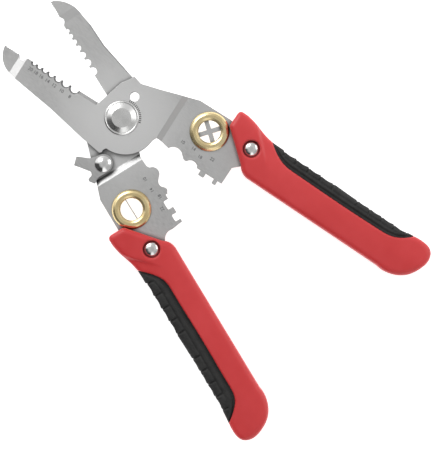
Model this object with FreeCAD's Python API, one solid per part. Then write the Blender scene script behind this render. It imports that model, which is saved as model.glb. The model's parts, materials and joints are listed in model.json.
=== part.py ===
import FreeCAD, Part
import math
import os

# Multi-purpose wire stripper, crimper and cable splitter, in millimetres.
# It lies on its back, open, with its jaws towards +Y and its front face towards +Z.
# Both halves are drawn closed, with the pivot at the origin and the mid-plane at z = 0,
# and are then turned apart. The origin of the finished part is the middle of its footprint.

# Driving dimensions
open_angle = 26.0             # between the two halves when the tool stands open
plate = 2.5                   # thickness of each blade plate
plate_gap = 0.10              # running gap between the two plates
meeting_gap = 0.15            # each meeting edge stands this far back when closed
hub_radius = 15.5
pivot_radius = 3.0
running_fit = 0.05
handle_thickness = 13.0
handle_edge = 2.2             # rounding of the handle's long edges
nose_corner = 1.6

# Folds that bring the crimping wings and the nose tips to the mid-plane
wing_fold = (-16.3, -18.8)
tip_fold = (45.6, 48.9)

# Stripping notches, from the nose towards the pivot
notch_count = 7
first_notch_y = 42.1
first_notch_radius = 0.75
notch_growth = 1.15
notch_land = 0.9
blade_overlap = 0.2           # how far the shearing edges pass each other when closed
blade_bevel = 1.5

# Crimping nests. Round ones: centre height, half width and rise of the bump, and the half with
# the hollow. Square ones: centre height and width of the tooth, with the hollow in the back half.
round_nests = [(-26.1, 2.6, 1.65, "front"), (-31.1, 1.5, 1.1, "back"), (-34.4, 1.15, 0.6, "front")]
square_nests = [(-40.0, 2.6), (-46.1, 1.8)]
nest_side_room = 0.6          # a hollow is this much wider than its bump, each way
nest_depth_room = 0.3
tooth_reach = 1.9             # how far a square tooth stands out
tooth_corner = 0.5
lower_edge = -1.1             # the meeting line steps over by this much below the round nests
edge_step_y = {"front": -36.5, "back": -36.1}

# Shear hole through both plates, in line when the tool is open
shear_hole = (10.2, 0.2)
shear_hole_radius = 2.0

# Cable splitters
eyelet_places = {"front": (14.5, -33.4), "back": (-16.3, -33.9)}
eyelet_bore = 4.6
eyelet_sleeve = 5.6
eyelet_flange = 8.1
eyelet_height = 1.3

# Handles and their rivets
rivet_places = {"front": (17.4, -51.7), "back": (-17.8, -52.1)}
rivet_shaft = 1.6
rivet_head = 3.3
rivet_recess = 3.6
rivet_height = 1.6
rivet_rim = 0.3
recess_depth = 1.9
handle_inner_x = {"front": 6.4, "back": -9.2}
handle_lean = {"front": -1.6, "back": -0.7}
handle_datum_y = -56.0
butt_shift = {"front": 1.4, "back": -1.4}      # the back handle is the longer moulding
pad_inner_u = {"front": 12.6, "back": 10.3}
rib_pitch = 6.0
rib_depth = 0.5
rib_radius = 9.0
pad_side_u = 17.9

# Locking lever, on the back plate
lever_pivot = (-16.3, -12.0)
lever_thickness = 2.0
lever_head = 3.4
washer = 0.15

# Return spring in its pocket round the pivot
spring_radius = 5.4
spring_wire = 0.55
pocket_depth = 0.7

SIDES = {"front": 1, "back": -1}
TALL = 10.0
UP = FreeCAD.Vector(0, 0, 1)
ORIGIN = FreeCAD.Vector(0, 0, 0)
plate_face = plate_gap / 2 + plate        # outer face of a plate at the pivot
wing_face = plate / 2                     # outer face of a wing, on the mid-plane


def point(xy, z=0.0):
    return FreeCAD.Vector(xy[0], xy[1], z)


def outline(start, *steps):
    """A face from a start point and steps: (x, y) draws a line, (middle, end) an arc,
    and a list of points a smooth curve."""
    edges = []
    here = start
    for step in steps + (start,):
        if isinstance(step, list):
            curve = Part.BSplineCurve()
            curve.interpolate([point(p) for p in [here] + step])
            edges.append(curve.toShape())
            here = step[-1]
        elif isinstance(step[0], tuple):
            edges.append(Part.Arc(point(here), point(step[0]), point(step[1])).toShape())
            here = step[1]
        elif math.dist(here, step) > 1e-6:
            edges.append(Part.LineSegment(point(here), point(step)).toShape())
            here = step
    return Part.Face(Part.Wire(edges))


def prism(face, low=-TALL, high=TALL):
    return face.translated(FreeCAD.Vector(0, 0, low)).extrude(FreeCAD.Vector(0, 0, high - low))


def rod(radius, xy=(0, 0), low=-TALL, high=TALL):
    return Part.makeCylinder(radius, high - low, point(xy, low))


def cone(low_radius, high_radius, xy, low, high):
    """A cone that widens or narrows upwards."""
    return Part.makeCone(low_radius, high_radius, high - low, point(xy, low))


def block(x_range, y_range, low=-TALL, high=TALL):
    corner = FreeCAD.Vector(x_range[0], y_range[0], low)
    return Part.makeBox(x_range[1] - x_range[0], y_range[1] - y_range[0], high - low, corner)


def turned(points, xy=(0, 0)):
    """A turned solid about a vertical axis from (radius, z) points."""
    ring = [FreeCAD.Vector(r, 0, z) for r, z in points]
    face = Part.Face(Part.makePolygon(ring + ring[:1]))
    return face.revolve(ORIGIN, UP, 360).translated(point(xy))


def flipped(shape):
    """The same shape on the other face of the tool."""
    return shape.mirror(ORIGIN, UP)


def mirrored(shape):
    """The same shape on the other side of the closed tool's centre line."""
    return shape.mirror(ORIGIN, FreeCAD.Vector(1, 0, 0))


# Blade plates

def folded_sheet(sign):
    """The sheet before its outline is cut: level at the pivot, at the mid-plane past each fold."""
    level = sign * (plate + plate_gap) / 2
    centre = [
        (-110, 0), (wing_fold[1], 0), (wing_fold[0], level),
        (tip_fold[0], level), (tip_fold[1], 0), (70, 0),
    ]
    lower = [FreeCAD.Vector(-70, y, z - plate / 2) for y, z in centre]
    upper = [FreeCAD.Vector(-70, y, z + plate / 2) for y, z in reversed(centre)]
    ring = lower + upper
    return Part.Face(Part.makePolygon(ring + ring[:1])).extrude(FreeCAD.Vector(140, 0, 0))


def front_outline():
    edge = blade_overlap
    return outline(
        (-meeting_gap, 56.3),
        ((-5.4, 54.2), (-9.0, 48.0)),
        (-9.6, 45.4), (-12.2, 26.6), (-15.6, 9.0), (-16.9, 0.2), (-16.2, -0.6), (-15.2, -0.5),
        (-13.9, -1.3),
        ((-11.2, -10.2), (-1.4, -hub_radius)),
        (0.7, -16.4), (0.6, -19.0), (-0.2, -22.7), (meeting_gap, -23.5),
        (meeting_gap, edge_step_y["front"]), (lower_edge + meeting_gap, edge_step_y["front"]),
        (lower_edge + meeting_gap, -48.9), (6.8, -49.1), (9.4, -52.0),
        (11.5, -54.0), (11.0, -84.0),
        ((15.5, -88.0), (19.5, -84.0)),
        (21.0, -46.0), (23.2, -38.3), (23.2, -23.4), (18.2, -7.0), (16.1, 0.7), (17.2, 4.6),
        ((14.4, 6.2), (12.1, 7.8)),
        (edge, 11.2), (edge, 45.4), (-1.7, 46.8), (-1.7, 48.3), (-meeting_gap, 49.6),
    )


def back_outline():
    edge = -blade_overlap
    return outline(
        (meeting_gap, 55.7),
        (meeting_gap, 48.8), (1.1, 47.4), (0.9, 45.9), (edge, 44.9), (edge, 9.5), (-6.0, 9.0),
        (-12.1, 7.6), (-16.6, 3.6), (-17.4, -1.0), (-19.4, -7.0), (-23.4, -19.0), (-25.2, -24.0),
        (-25.4, -38.6), (-23.0, -46.0), (-23.0, -84.0),
        ((-18.8, -88.0), (-14.6, -84.0)),
        (-14.0, -54.0), (-11.4, -52.2),
        ((-9.6, -50.0), (-6.6, -49.6)),
        (lower_edge - meeting_gap, -49.0), (lower_edge - meeting_gap, edge_step_y["back"]),
        (-meeting_gap, edge_step_y["back"]), (-meeting_gap, -24.2), (-0.9, -23.4), (-1.7, -22.0),
        (-1.9, -17.6), (-1.2, -15.5),
        ((11.0, -10.9), (15.3, 2.4)),
        (12.6, 12.0), (11.4, 19.0), (9.6, 29.3), (9.3, 39.4),
        (8.5, 44.2),
        ((6.5, 51.0), (1.4, 55.6)),
    )


def round_nest(edge, y, half_width, rise):
    """A tall rod that stands out past a straight edge by rise, and is 2 half_width wide there."""
    radius = (half_width ** 2 + rise ** 2) / (2 * abs(rise))
    return rod(radius, (edge + rise - math.copysign(radius, rise), y))


def round_nest_solids(side):
    """The bumps that a half carries, and the hollows that its mate's bumps drop into."""
    bumps = []
    hollows = []
    edge = SIDES[side] * meeting_gap
    for y, half_width, rise, hollow_side in round_nests:
        outward = SIDES[hollow_side]
        if hollow_side == side:
            hollows.append(round_nest(edge, y, half_width + nest_side_room, outward * rise))
        else:
            bumps.append(round_nest(edge, y, half_width, outward * rise))
    return bumps, hollows


def rounded_block(x_range, y_range):
    shape = block(x_range, y_range)
    return shape.makeFillet(tooth_corner, [e for e in shape.Edges if abs(e.CenterOfMass.z) < 1e-3])


def square_nest_solids(side):
    bumps = []
    hollows = []
    reach = lower_edge - tooth_reach
    for y, width in square_nests:
        half = width / 2
        if side == "front":
            bumps.append(rounded_block((reach, 1.5), (y - half, y + half)))
        else:
            half += nest_side_room
            hollows.append(rounded_block((reach - 2 * nest_depth_room, 1.5), (y - half, y + half)))
    return bumps, hollows


def notch_places():
    """Height and radius of each stripping notch, growing towards the pivot."""
    places = []
    y = first_notch_y
    radius = first_notch_radius
    for _ in range(notch_count):
        places.append((y, radius))
        larger = radius * notch_growth
        y -= radius + larger + notch_land
        radius = larger
    return places


def cutting_edges(sign):
    """Bevelled stripping notches and the bevel of the straight cutter, on the outer face."""
    root = sign * (plate_gap / 2 + 0.9)
    face = sign * (plate_face + 0.1)
    cuts = []
    for y, radius in notch_places():
        cuts.append(rod(radius, (0, y), -plate_face - 1, plate_face + 1))
        bevel = cone(radius, radius + 0.65, (0, y), abs(root), abs(face))
        cuts.append(bevel if sign > 0 else flipped(bevel))
    top = notch_places()[-1][0] - notch_places()[-1][1] - 0.4
    edge = sign * (blade_overlap + 0.1)
    ring = [
        FreeCAD.Vector(edge, 11.6, root),
        FreeCAD.Vector(edge, 11.6, face),
        FreeCAD.Vector(edge - sign * blade_bevel, 11.6, face),
    ]
    wedge = Part.Face(Part.makePolygon(ring + ring[:1]))
    cuts.append(wedge.extrude(FreeCAD.Vector(0, top - 11.6, 0)))
    return cuts


def tip_teeth(sign):
    """Fine gripping teeth cut across the meeting face of the nose."""
    teeth = []
    for step in range(6):
        tooth = block((-0.35, 0.35), (-0.35, 0.35))
        tooth.rotate(ORIGIN, UP, 45)
        teeth.append(tooth.translated(FreeCAD.Vector(-sign * meeting_gap, 50.4 + 0.95 * step, 0)))
    return teeth


def index_marks():
    """Stamped radial ticks beside the pivot head."""
    marks = []
    for step in range(14):
        mark = block((7.25, 8.1), (-0.18, 0.18), plate_face - 0.3, TALL)
        mark.rotate(ORIGIN, UP, -72 + 6 * step)
        marks.append(mark)
    return marks


def spring_pocket():
    low = -plate_gap / 2 - pocket_depth
    high = plate_gap / 2 + pocket_depth
    room = spring_wire + 0.35
    return rod(spring_radius + room, (0, 0), low, high).cut(rod(spring_radius - room))


def blade_plate(side):
    sign = SIDES[side]
    shape = prism(front_outline() if side == "front" else back_outline())
    for maker in (round_nest_solids, square_nest_solids):
        bumps, hollows = maker(side)
        if bumps:
            shape = shape.fuse(bumps)
        if hollows:
            shape = shape.cut(hollows)
    shape = shape.common(folded_sheet(sign))
    cuts = cutting_edges(sign) + tip_teeth(sign) + [spring_pocket()]
    cuts.append(rod(pivot_radius if side == "front" else pivot_radius + running_fit))
    cuts.append(rod(eyelet_sleeve, eyelet_places[side]))
    cuts.append(rod(rivet_shaft, rivet_places[side]))
    hole = rod(shear_hole_radius, shear_hole)
    if side == "front":
        cuts += index_marks()
    else:
        hole.rotate(ORIGIN, UP, open_angle)
        cuts.append(rod(rivet_shaft, lever_pivot))
    cuts.append(hole)
    shape = shape.cut(cuts).removeSplitter()
    if side == "back":
        spine = [e for e in shape.Edges if on_jaw_spine(e)]
        shape = shape.makeChamfer(0.4, 1.3, spine)
    return shape


def on_jaw_spine(edge):
    """Whether an edge runs along the back of the rear jaw, on the face towards the front."""
    middle = edge.CenterOfMass
    return abs(middle.z + plate_gap / 2) < 1e-3 and middle.x > 9 and 12.5 < middle.y < 39 and edge.Length > 3


# Handles

def handle_blank(side):
    """A whole handle in its own frame: u outward from the inner edge, y along the tool."""
    shift = butt_shift[side]
    butt = [
        (0.8, -130.0), (3.6, -134.2), (8.8, -137.4), (13.8, -138.3), (17.3, -136.6), (18.6, -132.5),
        (18.2, -126.0),
    ]
    face = outline(
        (0, -57),
        (0, -122 + shift),
        [(u, y + shift) for u, y in butt] + [
            (17.7, -112.0), (17.6, -96.0), (18.1, -82.0), (18.2, -67.0), (18.6, -54.0), (20.5, -47.8),
            (21.6, -42.4),
        ],
        (21.6, -38.7), (13.9, -38.6), (3.0, -51.6),
        ((0.9, -53.7), (0, -57)),
    )
    half = handle_thickness / 2
    blank = prism(face, -half, half)
    uprights = [e for e in blank.Edges if abs(e.CenterOfMass.z) < 1e-3]
    corners = [e for e in uprights if e.CenterOfMass.x > 2 and e.CenterOfMass.y > -52]
    blank = blank.makeFillet(nose_corner, corners)
    rims = [e for e in blank.Edges if abs(abs(e.CenterOfMass.z) - half) < 1e-3]
    return blank.makeFillet(handle_edge, rims)


def pad_region(side):
    """The part of a handle that the soft grip takes, as a tall solid."""
    inner = pad_inner_u[side]
    shift = butt_shift[side]
    return prism(outline(
        (25, -56.0),
        (18.9, -56.0),
        [
            (inner + (18.9 - inner) * 0.42, -61.0), (inner + 0.5, -66.0), (inner, -72.0),
            (inner - 0.2, -95.0), (inner, -114.0 + shift), (inner + 0.7, -120.4 + shift),
            (inner + (18.4 - inner) * 0.5, -124.8 + shift), (18.6, -128.1 + shift),
        ],
        (25, -128.1 + shift),
    ))


def rib_cutters():
    """Shallow scallops along the grip's outer side, with a smooth stretch in the middle."""
    centre_u = pad_side_u + rib_radius - rib_depth
    steps = [0, 1, 2, 3, 6, 7, 8, 9]
    return [rod(rib_radius, (centre_u, -66.0 - rib_pitch * step)) for step in steps]


def placed_handle(shape, side):
    """Moves a handle-frame solid to its place on one half of the closed tool."""
    where = point((handle_inner_x[side], 0))
    shape = shape if side == "front" else mirrored(shape)
    shape = shape.translated(where)
    shape.rotate(point((handle_inner_x[side], handle_datum_y)), UP, handle_lean[side])
    return shape


def handle(side):
    shape = placed_handle(handle_blank(side).cut(pad_region(side)), side)
    half = handle_thickness / 2
    recess = [rod(rivet_recess, rivet_places[side], half - recess_depth, TALL)]
    recess.append(rod(rivet_recess, rivet_places[side], -TALL, recess_depth - half))
    return shape.cut([blade_plate(side), rod(rivet_shaft, rivet_places[side])] + recess)


def grip_pad(side):
    pad = handle_blank(side).common(pad_region(side)).cut(rib_cutters())
    return placed_handle(pad, side).cut(blade_plate(side))


def domed_head(radius, xy, base):
    """A rivet head: a ball cap on a short straight rim."""
    rise = rivet_height - rivet_rim
    ball_radius = (radius ** 2 + rise ** 2) / (2 * rise)
    ball = Part.makeSphere(ball_radius, point(xy, base + rivet_height - ball_radius))
    return rod(radius, xy, base).common(ball)


def handle_rivet(side):
    place = rivet_places[side]
    base = handle_thickness / 2 - recess_depth
    head = domed_head(rivet_head, place, base)
    return rod(rivet_shaft, place, -base - 0.2, base + 0.2).fuse([head, flipped(head)]).removeSplitter()


# Cable splitters

def ferrule(side):
    """The front half of an eyelet: a rounded flange with a sleeve into the plate."""
    top = wing_face + eyelet_height
    profile = [
        (eyelet_bore, wing_face - 0.5), (eyelet_sleeve, wing_face - 0.5), (eyelet_sleeve, wing_face),
        (eyelet_flange, wing_face), (eyelet_flange, wing_face + 0.35), (eyelet_flange - 0.6, top - 0.3),
        (eyelet_flange - 1.4, top), (eyelet_bore + 1.1, top), (eyelet_bore + 0.3, top - 0.3),
        (eyelet_bore, top - 0.8),
    ]
    return turned(profile, eyelet_places[side])


def splitter_blade(side, bar_width, bar_angles):
    """A blade ring held between the two ferrules, with one or two bars across the bore."""
    half = wing_face - 0.5
    ring = rod(eyelet_sleeve, (0, 0), -half, half).cut(rod(eyelet_bore))
    bars = []
    for angle in bar_angles:
        bar = block((-eyelet_bore - 0.4, eyelet_bore + 0.4), (-bar_width / 2, bar_width / 2), -half, half)
        bar.rotate(ORIGIN, UP, angle)
        bars.append(bar)
    return ring.fuse(bars).removeSplitter().translated(point(eyelet_places[side]))


# Pivot, spring and locking lever

def pivot_bolt():
    """Head with a wide cone round a flat disc and a low rim, and a shaft through both plates."""
    head = [(0, plate_face + 1.35), (4.0, plate_face + 1.35), (4.3, plate_face + 1.2),
            (6.1, plate_face + 0.3), (6.35, plate_face + 0.3), (6.6, plate_face + 0.45),
            (7.0, plate_face + 0.25), (7.0, plate_face)]
    foot = -plate_face - 0.85
    shaft = [(pivot_radius, plate_face), (pivot_radius, foot), (0, foot)]
    return turned(head + shaft)


def pivot_washer():
    base = -plate_face - running_fit
    return rod(6.2, (0, 0), base - 0.5, base).cut(rod(pivot_radius))


def pivot_nut():
    """Turned locking collar swaged on the end of the bolt."""
    top = -plate_face - running_fit - 0.5
    low = -plate_face - 0.85 - 1.1
    foot = -plate_face - 0.85
    profile = [(pivot_radius, top), (5.6, top), (5.6, low + 0.5), (4.9, low), (0, low), (0, foot),
               (pivot_radius, foot)]
    return turned(profile)


def return_spring():
    """Open ring of spring wire, with one leg in each plate."""
    ring = Part.makeTorus(spring_radius, spring_wire, ORIGIN, UP, 0, 360, 290)
    start = (spring_radius, 0)
    bend = math.radians(290)
    end = (spring_radius * math.cos(bend), spring_radius * math.sin(bend))
    upper = rod(spring_wire, start, 0, plate_gap / 2 + pocket_depth)
    lower = rod(spring_wire, end, -plate_gap / 2 - pocket_depth, 0)
    return ring.fuse([upper, lower])


def lever_outline():
    """Finger to the upper left, thumb spur to the lower left, round body at the rivet."""
    return outline(
        (-14.8, -8.3),
        (-17.0, -7.9), (-19.6, -7.2), (-24.0, -3.6), (-26.8, -6.2), (-25.5, -7.8), (-23.0, -11.1),
        ((-22.4, -12.4), (-22.9, -13.5)),
        (-24.7, -14.1), (-25.0, -15.0), (-23.5, -17.1),
        ((-22.2, -16.3), (-20.6, -15.7)),
        (-16.6, -15.8),
        ((-12.6, -13.4), (-14.8, -8.3)),
    )


def lock_lever():
    base = -plate_gap / 2 + washer
    shape = prism(lever_outline(), base, base + lever_thickness)
    return shape.cut(rod(rivet_shaft + running_fit, lever_pivot))


def lock_washer():
    base = -plate_gap / 2
    return rod(2.8, lever_pivot, base, base + washer - 0.05).cut(rod(rivet_shaft, lever_pivot))


def lock_rivet():
    base = -plate_gap / 2 + washer + lever_thickness + running_fit
    foot = -plate_face
    shape = rod(rivet_shaft, lever_pivot, foot - 0.1, base + 0.2)
    tail = cone(2.5, 2.9, lever_pivot, foot - 0.6, foot)
    return shape.fuse([domed_head(lever_head, lever_pivot, base), tail]).removeSplitter()


def assemble():
    """Every node on its half, turned open and set on the bench with the origin under its middle."""
    halves = {
        "front": {
            "front_plate": blade_plate("front"),
            "front_handle": handle("front"),
            "front_grip_pad": grip_pad("front"),
            "front_handle_rivet": handle_rivet("front"),
            "quad_front_ferrule": ferrule("front"),
            "quad_back_ferrule": flipped(ferrule("front")),
            "quad_split_blade": splitter_blade("front", 1.9, (49.5, -40.5)),
            "pivot_bolt": pivot_bolt(),
            "pivot_washer": pivot_washer(),
            "pivot_nut": pivot_nut(),
            "return_spring": return_spring(),
        },
        "back": {
            "back_plate": blade_plate("back"),
            "back_handle": handle("back"),
            "back_grip_pad": grip_pad("back"),
            "back_handle_rivet": handle_rivet("back"),
            "split_front_ferrule": ferrule("back"),
            "split_back_ferrule": flipped(ferrule("back")),
            "split_blade": splitter_blade("back", 0.35, (90,)),
            "lock_lever": lock_lever(),
            "lock_washer": lock_washer(),
            "lock_rivet": lock_rivet(),
        },
    }
    nodes = {}
    for side, shapes in halves.items():
        for name, shape in shapes.items():
            shape.rotate(ORIGIN, UP, SIDES[side] * open_angle / 2)
            nodes[name] = shape
    box = Part.makeCompound(list(nodes.values())).optimalBoundingBox()
    shift = FreeCAD.Vector(-box.Center.x, -box.Center.y, -box.ZMin)
    for name in nodes:
        nodes[name] = nodes[name].translated(shift)
    print("pivot in the finished frame", [round(v, 4) for v in shift])
    return nodes


os.makedirs("parts", exist_ok=True)
for name, shape in assemble().items():
    print(name, len(shape.Solids), round(shape.Volume, 1), shape.isValid())
    shape.exportStep(f"parts/{name}.step")
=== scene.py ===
import json
import math

import bpy
import numpy as np
from mathutils import Matrix, Vector


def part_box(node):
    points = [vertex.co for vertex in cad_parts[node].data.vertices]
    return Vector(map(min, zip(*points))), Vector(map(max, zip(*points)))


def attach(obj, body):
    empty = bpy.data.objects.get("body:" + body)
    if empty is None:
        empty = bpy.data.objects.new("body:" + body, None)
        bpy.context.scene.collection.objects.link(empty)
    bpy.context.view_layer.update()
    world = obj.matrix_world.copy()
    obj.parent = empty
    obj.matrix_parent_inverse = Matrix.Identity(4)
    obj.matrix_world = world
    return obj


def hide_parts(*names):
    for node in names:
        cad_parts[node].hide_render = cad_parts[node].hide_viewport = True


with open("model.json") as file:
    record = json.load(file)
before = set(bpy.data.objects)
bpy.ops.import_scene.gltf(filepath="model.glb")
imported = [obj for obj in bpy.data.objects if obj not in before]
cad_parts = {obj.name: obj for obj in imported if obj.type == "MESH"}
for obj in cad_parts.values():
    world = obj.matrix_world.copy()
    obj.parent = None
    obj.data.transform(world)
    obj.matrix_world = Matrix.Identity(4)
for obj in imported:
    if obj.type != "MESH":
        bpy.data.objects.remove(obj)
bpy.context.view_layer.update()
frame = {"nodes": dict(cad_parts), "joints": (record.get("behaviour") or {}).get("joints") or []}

# Places read from the frame, which is in metres. MM turns millimetres into metres, and FERRULE_SLEEVE
# is how far a front ferrule reaches into its wing.
MM = 0.001
FERRULE_SLEEVE = 0.5 * MM
pivot_joint = next(j for j in frame["joints"] if j["name"] == "pivot")
PIVOT = Vector(pivot_joint["pos_m"])
HALF_TURN = math.radians(pivot_joint["range_deg"][1] / 2)
PLATE_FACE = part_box("front_plate")[1].z
WING_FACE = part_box("quad_front_ferrule")[0].z + FERRULE_SLEEVE
SIDES = {"front": 1, "back": -1}

# How each handle stands on its half, in millimetres from the pivot, as the design has it
HANDLE_INNER = {"front": 6.4, "back": -9.2}
HANDLE_LEAN = {"front": math.radians(-1.6), "back": math.radians(-0.7)}
HANDLE_DATUM = -56.0

# The handle's faces, in millimetres: u runs outwards, v towards the butt. Pairs are where a change
# starts and ends.
HANDLE_MIDDLE = 9.0
HANDLE_HALF_HEIGHT = 6.5
CORE_HALF_HEIGHT = 2.0
CROWN_DROP = 0.75
NOSE_CORNER_U = 19.0
NOSE_CORNER_V = 49.4
STEP_DEPTH = 0.55
STEP_ALONG = (-0.2, 1.3)
STEP_ACROSS = (7.0, 17.0)
HOLLOW_DEPTH = 0.5
HOLLOW_FADE = (56.0, 74.0)

# The soft grip, in millimetres: a sunk border, a groove along its middle and slots across it.
# SLOT_WIDTH_SHARE is in shares of its width, and SLOT_SIDE_REACH is counted inwards from its outer side.
PAD_OUTER = 17.9
EDGE_STEP = 0.6
FACE_BAND = 3.0
BORDER_DEPTH = 0.9
BORDER_MIDDLE = 0.9
BORDER_SPREAD = 0.7
GROOVE_DEPTH = 0.35
GROOVE_SPREAD = 0.45
GROOVE_START = (62, 66)
GROOVE_END = (118, 122)
SLOT_FIRST = 63.0
SLOT_PITCH = 6.0
SLOT_STEPS = (0, 1, 2, 3, 4, 6, 7, 8, 9, 10)
SLOT_SLANT = 0.55
SLOT_SPREAD = 0.42
SLOT_DEPTH = 0.8
SLOT_WIDTH_SHARE = (0.45, 0.62)
SLOT_SIDE_DEPTH = 0.4
SLOT_SIDE_REACH = (1.6, 0.4)

# How finely the moulded parts are remeshed, and how much the handle's mesh is relaxed
HANDLE_VOXEL = 0.42 * MM
GRIP_VOXEL = 0.3 * MM
RELAX_FACTOR = 0.5
RELAX_TURNS = 2

# The stripping notches, from the nose towards the pivot, in millimetres, as the design has them
NOTCH_FIRST = 42.1
NOTCH_FIRST_RADIUS = 0.75
NOTCH_GROWTH = 1.15
NOTCH_LAND = 0.9

# Generic gauge numbers beside the notches, and beside the nests with each one's place on the closed
# tool in millimetres from the pivot
NOTCH_LABELS = ("20", "18", "16", "14", "12", "10", "8")
NOTCH_LABEL_GAP = 2.2
NOTCH_LABEL_HEIGHT = 2.0 * MM
NEST_LABELS = (("10", 5.0, -26.4), ("14", 5.0, -31.6), ("18", 3.6, -35.6), ("22", 5.4, -40.4))
NEST_LABEL_HEIGHT = 1.9 * MM
LABEL_THICKNESS = 0.00001
LABEL_LIFT = 0.00002
QUARTER_TURN = math.radians(90)


def smooth(x, low, high):
    t = np.clip((x - low) / (high - low), 0, 1)
    return t * t * (3 - 2 * t)


def bell(x, middle, spread):
    """1 at the middle, falling off smoothly on both sides."""
    return np.exp(-(((x - middle) / spread) ** 2))


def grey(level):
    return (level, level, level)


def turn(x, y, angle):
    return x * math.cos(angle) - y * math.sin(angle), x * math.sin(angle) + y * math.cos(angle)


def to_handle(points, side):
    """Row-frame points in metres to the handle's own u, v and z in millimetres."""
    p = (points - np.array(PIVOT)) / MM
    x, y = turn(p[:, 0], p[:, 1], -SIDES[side] * HALF_TURN)
    x, y = turn(x - HANDLE_INNER[side], y - HANDLE_DATUM, -HANDLE_LEAN[side])
    return x * SIDES[side], -(y + HANDLE_DATUM), p[:, 2]


def from_handle(u, v, z, side):
    """The way back from a handle's own u, v and z to row-frame points in metres."""
    x, y = turn(u * SIDES[side], -v - HANDLE_DATUM, HANDLE_LEAN[side])
    x, y = turn(x + HANDLE_INNER[side], y + HANDLE_DATUM, SIDES[side] * HALF_TURN)
    return np.stack([x, y, z], 1) * MM + np.array(PIVOT)


# Materials

NOISE_ROUGHNESS = 0.6
CORNER_SAMPLES = 8
EDGE_SAMPLES = 4


class Nodes:
    """Short helpers for building a node tree."""

    def __init__(self, tree):
        self.tree = tree

    def add(self, kind, **values):
        node = self.tree.nodes.new(kind)
        for key, value in values.items():
            if key in node.inputs:
                node.inputs[key].default_value = value
            else:
                setattr(node, key, value)
        return node

    def link(self, source, node, socket):
        self.tree.links.new(source, node.inputs[socket])

    def ramp(self, source, *stops):
        node = self.add("ShaderNodeValToRGB")
        while len(node.color_ramp.elements) < len(stops):
            node.color_ramp.elements.new(0.5)
        for element, (position, colour) in zip(node.color_ramp.elements, stops):
            element.position = position
            element.color = (*colour, 1)
        self.link(source, node, "Fac")
        return node.outputs["Color"]

    def mixed(self, factor, first, second):
        """Blends two colours, given as outputs or as plain colours, by a 0..1 output."""
        node = self.add("ShaderNodeMix", data_type="RGBA")
        self.link(factor, node, "Factor")
        for socket, colour in ((node.inputs[6], first), (node.inputs[7], second)):
            if isinstance(colour, tuple):
                socket.default_value = (*colour, 1)
            else:
                self.tree.links.new(colour, socket)
        return node.outputs[2]


class Shader(Nodes):
    """A Principled material with short helpers for its procedural nodes."""

    def __init__(self, name, base, metallic, roughness):
        self.material = bpy.data.materials.new(name)
        self.material.use_nodes = True
        super().__init__(self.material.node_tree)
        self.shader = self.tree.nodes["Principled BSDF"]
        self.shader.inputs["Base Color"].default_value = (*base, 1)
        self.shader.inputs["Metallic"].default_value = metallic
        self.shader.inputs["Roughness"].default_value = roughness
        self.place = self.add("ShaderNodeTexCoord").outputs["Object"]

    def stretched(self, scale, angle):
        node = self.add("ShaderNodeMapping")
        node.inputs["Scale"].default_value = scale
        node.inputs["Rotation"].default_value = (0, 0, angle)
        self.link(self.place, node, "Vector")
        return node.outputs["Vector"]

    def noise(self, scale, detail=3.0, vector=None):
        node = self.add("ShaderNodeTexNoise", Scale=scale, Detail=detail, Roughness=NOISE_ROUGHNESS)
        self.link(vector or self.place, node, "Vector")
        return node.outputs["Fac"]

    def spread(self, source, low, high):
        node = self.add("ShaderNodeMapRange")
        node.inputs["To Min"].default_value = low
        node.inputs["To Max"].default_value = high
        self.link(source, node, "Value")
        return node.outputs["Result"]

    def steepness(self, low, high):
        """0 on faces whose normal has a vertical share above high, rising to 1 where it is under low."""
        normal = self.add("ShaderNodeNewGeometry").outputs["True Normal"]
        split = self.add("ShaderNodeSeparateXYZ")
        self.link(normal, split, "Vector")
        level = self.add("ShaderNodeMath", operation="ABSOLUTE")
        self.link(split.outputs["Z"], level, 0)
        node = self.add("ShaderNodeMapRange")
        node.inputs["From Min"].default_value = high
        node.inputs["From Max"].default_value = low
        self.link(level.outputs[0], node, "Value")
        return node.outputs["Result"]

    def near_pivot(self, inner, outer):
        """1 within the inner distance of the pivot, falling to 0 at the outer one, in metres."""
        node = self.add("ShaderNodeVectorMath", operation="DISTANCE")
        self.link(self.place, node, 0)
        node.inputs[1].default_value = PIVOT
        fall = self.add("ShaderNodeMapRange", interpolation_type="SMOOTHSTEP")
        fall.inputs["From Min"].default_value = outer
        fall.inputs["From Max"].default_value = inner
        self.link(node.outputs["Value"], fall, "Value")
        return fall.outputs["Result"]

    def painted_crevice_shade(self, colour, reach, darkest):
        """Painted shade: darkens a colour by ambient occlusion in corners and narrow gaps, where shadow
        gathers.
        """
        node = self.add("ShaderNodeAmbientOcclusion", samples=CORNER_SAMPLES)
        node.inputs["Distance"].default_value = reach
        open_share = self.ramp(node.outputs["AO"], (0.25, grey(darkest)), (0.85, grey(1)))
        mix = self.add("ShaderNodeMix", data_type="RGBA", blend_type="MULTIPLY")
        mix.inputs["Factor"].default_value = 1.0
        self.link(colour, mix, 6)
        self.link(open_share, mix, 7)
        return mix.outputs[2]

    def colour_from(self, output):
        self.link(output, self.shader, "Base Color")

    def roughness_from(self, output):
        self.link(output, self.shader, "Roughness")

    def bump(self, *heights, edge=0.0):
        """Stacks bumps over edges that look rounded: each height is (source, depth in metres)."""
        last = None
        if edge:
            rounded = self.add("ShaderNodeBevel", samples=EDGE_SAMPLES)
            rounded.inputs["Radius"].default_value = edge
            last = rounded.outputs["Normal"]
        for source, depth in heights:
            node = self.add("ShaderNodeBump")
            node.inputs["Distance"].default_value = depth
            self.link(source, node, "Height")
            if last:
                self.link(last, node, "Normal")
            last = node.outputs["Normal"]
        self.link(last, self.shader, "Normal")


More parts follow.
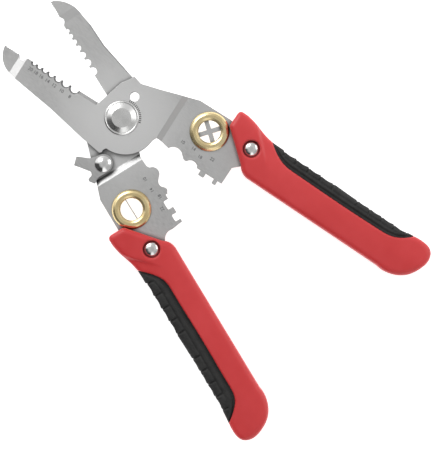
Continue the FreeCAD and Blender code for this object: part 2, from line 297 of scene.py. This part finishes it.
def blade_steel(name="blade_steel", tone=1.0, grain_angle=0.0):
    """Satin steel, finished by grinding, with fine grain along Y, turned by the grain angle, broad
    clouding and small scuffs. It has a painted sheen round the pivot, painted shade in one plain tone on
    fold slopes, and dark painted shade on bevels and cut edges."""
    def toned(*colour):
        return tuple(c * tone for c in colour)

    light = toned(0.66, 0.66, 0.655)
    dark = toned(0.47, 0.47, 0.465)
    # The next three tones are painted light: a sheen round the pivot, a plain shade tone for fold
    # slopes, and dark shade for steep faces
    bright = toned(0.78, 0.78, 0.775)
    fold_slope_shade = toned(0.6, 0.6, 0.595)
    steep_face_shade = toned(0.11, 0.11, 0.112)
    s = Shader(name, grey(0.5), 0.9, 0.4)
    grain = s.noise(1500, 4, s.stretched((5, 0.35, 5), grain_angle))
    cloud = s.noise(34, 5, s.stretched((1.6, 0.7, 1), grain_angle))
    speck = s.noise(6500, 2)
    clouded = s.ramp(cloud, (0.34, dark), (0.68, light))
    brushed = s.mixed(s.ramp(grain, (0.38, grey(0)), (0.62, grey(1))), clouded, light)
    scuffed = s.mixed(s.ramp(speck, (0.62, grey(0)), (0.74, grey(0.35))), brushed, dark)
    # Painted sheen: the steel is lighter near the pivot
    pivot_sheened = s.mixed(s.near_pivot(8 * MM, 34 * MM), scuffed, bright)
    # Painted shade: gently tilted fold faces get one plain tone in place of the steel's own
    fold_shaded = s.mixed(s.steepness(0.9, 0.985), pivot_sheened, fold_slope_shade)
    # Painted shade: bevels, cut edges and other steep faces are darkened by their tilt
    steep_face_shaded = s.mixed(s.steepness(0.45, 0.72), fold_shaded, steep_face_shade)
    # Painted shade in corners and gaps
    s.colour_from(s.painted_crevice_shade(steep_face_shaded, 2.2 * MM, 0.06))
    s.roughness_from(s.spread(grain, 0.34, 0.54))
    s.bump((grain, 0.02 * MM), (speck, 0.025 * MM), edge=0.22 * MM)
    return s.material


def polished_steel(name="polished_steel", roughness=0.09):
    """Plated steel for the rivets, washers, pivot and spring, with faint smears."""
    s = Shader(name, (0.86, 0.86, 0.85), 1.0, roughness)
    smear = s.noise(260, 4)
    smeared = s.ramp(smear, (0.3, (0.78, 0.78, 0.77)), (0.7, (0.92, 0.92, 0.91)))
    # Painted shade in corners and gaps
    s.colour_from(s.painted_crevice_shade(smeared, 1.0 * MM, 0.2))
    s.roughness_from(s.spread(smear, roughness - 0.04, roughness + 0.1))
    s.bump((s.noise(1500, 3), 0.008 * MM), edge=0.12 * MM)
    return s.material


def turned_brass():
    """Bright turned brass with soft drifts of tint."""
    s = Shader("turned_brass", (0.8, 0.6, 0.25), 1.0, 0.24)
    tint = s.noise(180, 4)
    tinted = s.ramp(tint, (0.3, (0.86, 0.66, 0.33)), (0.75, (1.0, 0.86, 0.52)))
    # Painted shade in corners and gaps
    s.colour_from(s.painted_crevice_shade(tinted, 1.2 * MM, 0.3))
    s.roughness_from(s.spread(s.noise(1400, 3), 0.17, 0.32))
    s.bump((s.noise(2600, 2), 0.012 * MM), edge=0.2 * MM)
    return s.material


def handle_plastic():
    """Semi-matte red plastic with a fine moulded grain and slight tonal drift."""
    s = Shader("handle_plastic", (0.66, 0.04, 0.04), 0.0, 0.42)
    drift = s.noise(38, 3)
    drifted = s.ramp(drift, (0.3, (0.66, 0.03, 0.033)), (0.75, (0.76, 0.055, 0.06)))
    # Painted shade in corners and gaps
    s.colour_from(s.painted_crevice_shade(drifted, 2.0 * MM, 0.2))
    grain = s.noise(3800, 3)
    s.roughness_from(s.spread(grain, 0.36, 0.5))
    s.bump((grain, 0.025 * MM), (s.noise(600, 2), 0.03 * MM))
    s.shader.inputs["Specular IOR Level"].default_value = 0.55
    s.shader.inputs["Coat Weight"].default_value = 0.12
    s.shader.inputs["Coat Roughness"].default_value = 0.35
    s.shader.inputs["Subsurface Weight"].default_value = 0.05
    s.shader.inputs["Subsurface Scale"].default_value = 1.0 * MM
    return s.material


def grip_rubber():
    """Soft black grip: fine leathery pebble with dusty patches."""
    s = Shader("grip_rubber", (0.03, 0.033, 0.033), 0.0, 0.62)
    pebble = s.add("ShaderNodeTexVoronoi", Scale=1900.0)
    s.link(s.place, pebble, "Vector")
    cells = pebble.outputs["Distance"]
    dust = s.noise(240, 4)
    dusted = s.ramp(dust, (0.3, grey(0.012)), (0.78, (0.034, 0.034, 0.033)))
    # Painted shade in corners and gaps
    s.colour_from(s.painted_crevice_shade(dusted, 1.5 * MM, 0.25))
    s.roughness_from(s.spread(dust, 0.5, 0.72))
    s.bump((cells, 0.09 * MM), (s.noise(700, 3), 0.05 * MM))
    s.shader.inputs["Specular IOR Level"].default_value = 0.45
    return s.material


def etched_ink():
    """Dark laser etching, a little uneven, for the gauge numbers."""
    s = Shader("etched_ink", (0.11, 0.11, 0.115), 0.35, 0.6)
    fade = s.noise(900, 3)
    s.colour_from(s.ramp(fade, (0.35, (0.08, 0.08, 0.085)), (0.7, grey(0.20))))
    return s.material


def dress(nodes, material):
    """Gives CAD nodes a material."""
    for name in nodes:
        node = frame["nodes"][name]
        node.data.materials.clear()
        node.data.materials.append(material)


# Moulded parts, reshaped from their CAD solids

def evaluated_mesh(thing):
    """A new mesh of an object as its modifiers or its text make it."""
    depsgraph = bpy.context.evaluated_depsgraph_get()
    return bpy.data.meshes.new_from_object(thing.evaluated_get(depsgraph))


def remeshed(node_name, piece_name, voxel):
    """A dense copy of a CAD node's mesh, ready to be shaped."""
    source = frame["nodes"][node_name]
    piece = bpy.data.objects.new(piece_name, source.data.copy())
    bpy.context.scene.collection.objects.link(piece)
    modifier = piece.modifiers.new("voxels", "REMESH")
    modifier.mode = "VOXEL"
    modifier.voxel_size = voxel
    dense = evaluated_mesh(piece)
    piece.modifiers.clear()
    piece.data = dense
    dense.name = piece_name
    dense.polygons.foreach_set("use_smooth", [True] * len(dense.polygons))
    return piece


def relax(piece):
    """Softens the creases of a piece's mesh."""
    modifier = piece.modifiers.new("relax", "SMOOTH")
    modifier.factor = RELAX_FACTOR
    modifier.iterations = RELAX_TURNS
    mesh = evaluated_mesh(piece)
    piece.modifiers.clear()
    piece.data = mesh


def vertex_array(piece):
    points = np.zeros(len(piece.data.vertices) * 3)
    piece.data.vertices.foreach_get("co", points)
    return points.reshape(-1, 3)


def set_vertices(piece, points):
    piece.data.vertices.foreach_set("co", points.astype(np.float32).ravel())
    piece.data.update()


def face_drop(u, v):
    """How far the handle's faces stand below the nose's, in millimetres: a crowned section,
    and a thumb hollow under the nose's slanting edge."""
    crown = CROWN_DROP * ((u - HANDLE_MIDDLE) / HANDLE_MIDDLE) ** 2
    past_nose = v - NOSE_CORNER_V - (NOSE_CORNER_U - u)
    step = smooth(past_nose, *STEP_ALONG) * smooth(u, *STEP_ACROSS)
    hollow = HOLLOW_DEPTH * step * (1 - smooth(v, *HOLLOW_FADE))
    return crown + STEP_DEPTH * step + hollow


def lowered(z, depth):
    """Moves the front and back faces towards each other by depth, leaving the middle alone."""
    share = np.clip((np.abs(z) - CORE_HALF_HEIGHT) / (HANDLE_HALF_HEIGHT - CORE_HALF_HEIGHT), 0, 1)
    return z - np.sign(z) * share * depth


def handle_piece(side, material):
    """The hard moulding: the CAD handle with its faces crowned and hollowed."""
    node = side + "_handle"
    piece = remeshed(node, side + "_handle_moulding", HANDLE_VOXEL)
    u, v, z = to_handle(vertex_array(piece), side)
    set_vertices(piece, from_handle(u, v, lowered(z, face_drop(u, v)), side))
    relax(piece)
    finish_piece(piece, material, side + "_half", node)


def pad_edge(u, v, z):
    """The grip's inner edge: the least u on its faces at each place along the handle."""
    centres = np.arange(v.min() + EDGE_STEP / 2, v.max(), EDGE_STEP)
    on_face = np.abs(z) > FACE_BAND
    edge = []
    for centre in centres:
        near = on_face & (np.abs(v - centre) < EDGE_STEP)
        edge.append(u[near].min() if near.any() else PAD_OUTER)
    return np.interp(v, centres, edge)


def slot_profile(v, z):
    """1 in the middle of each slot across the grip, and 0 between the slots."""
    slots = np.zeros_like(v)
    for step in SLOT_STEPS:
        middle = SLOT_FIRST + SLOT_PITCH * step + SLOT_SLANT * np.abs(z) / HANDLE_HALF_HEIGHT
        slots += bell(v, middle, SLOT_SPREAD)
    return slots


def grip_piece(side, material):
    """The soft grip: a sunk border beside the red plastic, a groove along its middle, and slots
    across its outer part that notch its outer side."""
    node = side + "_grip_pad"
    piece = remeshed(node, side + "_soft_grip", GRIP_VOXEL)
    u, v, z = to_handle(vertex_array(piece), side)
    across = u - pad_edge(u, v, z)
    width = PAD_OUTER - (u - across)
    border = BORDER_DEPTH * bell(across, BORDER_MIDDLE, BORDER_SPREAD)
    groove = GROOVE_DEPTH * bell(across, 0.5 * width, GROOVE_SPREAD)
    groove = groove * smooth(v, *GROOVE_START) * (1 - smooth(v, *GROOVE_END))
    slots = slot_profile(v, z)
    slot_start, slot_full = SLOT_WIDTH_SHARE
    outer = smooth(across, slot_start * width, slot_full * width)
    z = lowered(z, face_drop(u, v) + border + groove + SLOT_DEPTH * slots * outer)
    side_start, side_full = SLOT_SIDE_REACH
    u = u - SLOT_SIDE_DEPTH * slots * smooth(u, PAD_OUTER - side_start, PAD_OUTER - side_full)
    set_vertices(piece, from_handle(u, v, z, side))
    finish_piece(piece, material, side + "_half", node)


def finish_piece(piece, material, body, node):
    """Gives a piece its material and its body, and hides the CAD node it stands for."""
    piece.data.materials.clear()
    piece.data.materials.append(material)
    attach(piece, body)
    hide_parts(node)


# Generic gauge numbers

def on_half(x, y, z, side):
    """A place on a half, given on the closed tool in millimetres from the pivot."""
    px, py = turn(x, y, SIDES[side] * HALF_TURN)
    return Vector((PIVOT.x + px * MM, PIVOT.y + py * MM, z))


def number_mesh(text, height, place, angle):
    """The mesh of a number lying on a face, turned by angle about its middle."""
    curve = bpy.data.curves.new("number", "FONT")
    curve.body = text
    curve.size = height
    curve.align_x = "CENTER"
    curve.align_y = "CENTER"
    curve.extrude = LABEL_THICKNESS
    holder = bpy.data.objects.new("number", curve)
    holder.matrix_world = Matrix.Translation(place) @ Matrix.Rotation(angle, 4, "Z")
    bpy.context.scene.collection.objects.link(holder)
    bpy.context.view_layer.update()
    mesh = evaluated_mesh(holder)
    mesh.transform(holder.matrix_world)
    bpy.data.objects.remove(holder)
    return mesh


def joined(meshes, name):
    """One piece made of several meshes."""
    vertices = []
    faces = []
    for mesh in meshes:
        start = len(vertices)
        vertices += [tuple(v.co) for v in mesh.vertices]
        faces += [[start + i for i in p.vertices] for p in mesh.polygons]
    result = bpy.data.meshes.new(name)
    result.from_pydata(vertices, [], faces)
    piece = bpy.data.objects.new(name, result)
    bpy.context.scene.collection.objects.link(piece)
    return piece


def notch_numbers():
    """A number beside each stripping notch, on the front jaw."""
    meshes = []
    y = NOTCH_FIRST
    radius = NOTCH_FIRST_RADIUS
    for label in NOTCH_LABELS:
        place = on_half(-(radius + NOTCH_LABEL_GAP), y, PLATE_FACE + LABEL_LIFT, "front")
        meshes.append(number_mesh(label, NOTCH_LABEL_HEIGHT, place, HALF_TURN - QUARTER_TURN))
        y -= radius * (1 + NOTCH_GROWTH) + NOTCH_LAND
        radius *= NOTCH_GROWTH
    return meshes


def nest_numbers(side):
    """The numbers beside the crimping nests, on either wing."""
    sign = SIDES[side]
    angle = sign * (HALF_TURN - QUARTER_TURN)
    meshes = []
    for label, x, y in NEST_LABELS:
        place = on_half(sign * x, y, WING_FACE + LABEL_LIFT, side)
        meshes.append(number_mesh(label, NEST_LABEL_HEIGHT, place, angle))
    return meshes


def gauge_numbers(side, material):
    meshes = notch_numbers() if side == "front" else []
    meshes += nest_numbers(side)
    piece = joined(meshes, side + "_gauge_numbers")
    piece.data.materials.append(material)
    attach(piece, side + "_half")


# Stage, light and camera

# The camera looks straight down on the tool, which lies turned 44.8 degrees to the left in the image.
# Lengths are in metres, and IMAGE_HEIGHT is what the image's height spans at the pivot's level.
IMAGE_ROLL = math.radians(44.8)
IMAGE_UP = Vector((math.sin(IMAGE_ROLL), math.cos(IMAGE_ROLL), 0))
IMAGE_RIGHT = Vector((math.cos(IMAGE_ROLL), -math.sin(IMAGE_ROLL), 0))
IMAGE_HEIGHT = 0.18532
CAMERA_DISTANCE = 1.0
CAMERA_SENSOR_MM = 36
CAMERA_NEAREST = 0.01
PIVOT_LEFT_OF_MIDDLE = 0.04006
PIVOT_ABOVE_MIDDLE = 0.0442
FLOOR_HALF_SIZE = 3.0
FLOOR_LEVEL = -0.0004
FLOOR_GLOW = 0.72

# Studio brightness by height (0 at the horizon, 1 overhead) and round the walls by compass turn,
# and how much of the wall's brightness shows at each height
OVERHEAD_LEVELS = [(0.0, 0.3), (0.75, 0.9), (0.93, 0.66), (1.0, 0.6)]
WALL_LEVELS = [
    (0.0, 0.05), (0.09, 0.06), (0.115, 1.4), (0.185, 1.4), (0.215, 0.6), (0.25, 0.6), (0.31, 0.55),
    (0.35, 0.7), (0.60, 0.75), (0.67, 1.2), (0.83, 1.2), (0.87, 0.08),
]
WALL_SHARES = [(0.0, 1.0), (0.72, 1.0), (0.92, 0.0)]
STUDIO_STRENGTH = 0.8


def image_centre():
    """The place at the pivot's level that the middle of the image shows."""
    return PIVOT + IMAGE_RIGHT * PIVOT_LEFT_OF_MIDDLE - IMAGE_UP * PIVOT_ABOVE_MIDDLE


def looking(direction, up):
    """Rotation for a camera or light that looks along direction with up towards the top."""
    back = -Vector(direction).normalized()
    right = Vector(up).cross(back).normalized()
    top = back.cross(right)
    return Matrix((right, top, back)).transposed().to_4x4()


def make_camera():
    data = bpy.data.cameras.new("camera")
    data.sensor_width = CAMERA_SENSOR_MM
    data.lens = CAMERA_SENSOR_MM / 2 * CAMERA_DISTANCE / (IMAGE_HEIGHT / 2)
    data.clip_start = CAMERA_NEAREST
    camera = bpy.data.objects.new("camera", data)
    place = image_centre() + Vector((0, 0, CAMERA_DISTANCE))
    camera.matrix_world = Matrix.Translation(place) @ looking((0, 0, -1), IMAGE_UP)
    bpy.context.scene.collection.objects.link(camera)
    bpy.context.scene.camera = camera


def area_light(name, right, up, height, size, power):
    """A soft box aimed at the image's middle, placed by how far it stands right of and above it."""
    data = bpy.data.lights.new(name, "AREA")
    data.shape = "RECTANGLE"
    data.size, data.size_y = size
    data.energy = power
    light = bpy.data.objects.new(name, data)
    middle = image_centre()
    place = middle + IMAGE_RIGHT * right + IMAGE_UP * up + Vector((0, 0, height))
    light.matrix_world = Matrix.Translation(place) @ looking(middle - place, IMAGE_UP)
    bpy.context.scene.collection.objects.link(light)


def grey_stops(levels):
    return [(position, grey(level)) for position, level in levels]


def make_world():
    """A grey studio: evenly lit overhead, with bright panels and dark gaps round the walls."""
    world = bpy.data.worlds.new("studio")
    world.use_nodes = True
    w = Nodes(world.node_tree)
    split = w.add("ShaderNodeSeparateXYZ")
    w.link(w.add("ShaderNodeTexCoord").outputs["Generated"], split, "Vector")
    height = split.outputs["Z"]
    azimuth = w.add("ShaderNodeMath", operation="ARCTAN2")
    w.link(split.outputs["Y"], azimuth, 0)
    w.link(split.outputs["X"], azimuth, 1)
    # From an angle between -pi and pi to a share of the turn
    compass_turn = w.add("ShaderNodeMath", operation="MULTIPLY_ADD")
    w.link(azimuth.outputs[0], compass_turn, 0)
    compass_turn.inputs[1].default_value = 0.5 / math.pi
    compass_turn.inputs[2].default_value = 0.5
    overhead = w.ramp(height, *grey_stops(OVERHEAD_LEVELS))
    walls = w.ramp(compass_turn.outputs[0], *grey_stops(WALL_LEVELS))
    wall_share = w.ramp(height, *grey_stops(WALL_SHARES))
    background = w.tree.nodes["Background"]
    w.link(w.mixed(wall_share, overhead, walls), background, "Color")
    background.inputs["Strength"].default_value = STUDIO_STRENGTH
    bpy.context.scene.world = world


def make_floor():
    """A wide sheet of pale paper just under the tool, glowing a little so that it stays white."""
    far = FLOOR_HALF_SIZE
    corners = [(x, y, FLOOR_LEVEL) for x, y in ((-far, -far), (far, -far), (far, far), (-far, far))]
    mesh = bpy.data.meshes.new("floor")
    mesh.from_pydata(corners, [], [(0, 1, 2, 3)])
    floor = bpy.data.objects.new("floor", mesh)
    bpy.context.scene.collection.objects.link(floor)
    s = Shader("floor_paper", grey(0.93), 0.0, 0.9)
    s.colour_from(s.ramp(s.noise(4), (0.3, grey(0.93)), (0.7, grey(0.95))))
    s.shader.inputs["Emission Color"].default_value = (1, 1, 1, 1)
    s.shader.inputs["Emission Strength"].default_value = FLOOR_GLOW
    floor.data.materials.append(s.material)


def make_stage():
    make_floor()
    make_world()
    area_light("key", right=-0.55, up=0.75, height=0.75, size=(0.7, 0.5), power=4.0)
    area_light("right_fill", right=0.85, up=0.35, height=0.5, size=(0.5, 0.7), power=1.4)
    bpy.context.scene.view_settings.view_transform = "Standard"


make_camera()
make_stage()

steel = blade_steel()
polished = polished_steel()
dress(["front_plate", "back_plate", "quad_split_blade", "split_blade"], steel)
dress(["lock_lever"], blade_steel("lever_steel", tone=0.85, grain_angle=0.8))
dress(["front_handle_rivet", "back_handle_rivet", "lock_rivet", "lock_washer"], polished)
pivot_steel = polished_steel("pivot_steel", roughness=0.24)
dress(["pivot_bolt", "pivot_washer", "pivot_nut", "return_spring"], pivot_steel)
ferrules = [f"{splitter}_{face}_ferrule" for splitter in ("quad", "split") for face in ("front", "back")]
dress(ferrules, turned_brass())

plastic = handle_plastic()
rubber = grip_rubber()
ink = etched_ink()
for half in SIDES:
    handle_piece(half, plastic)
    grip_piece(half, rubber)
    gauge_numbers(half, ink)
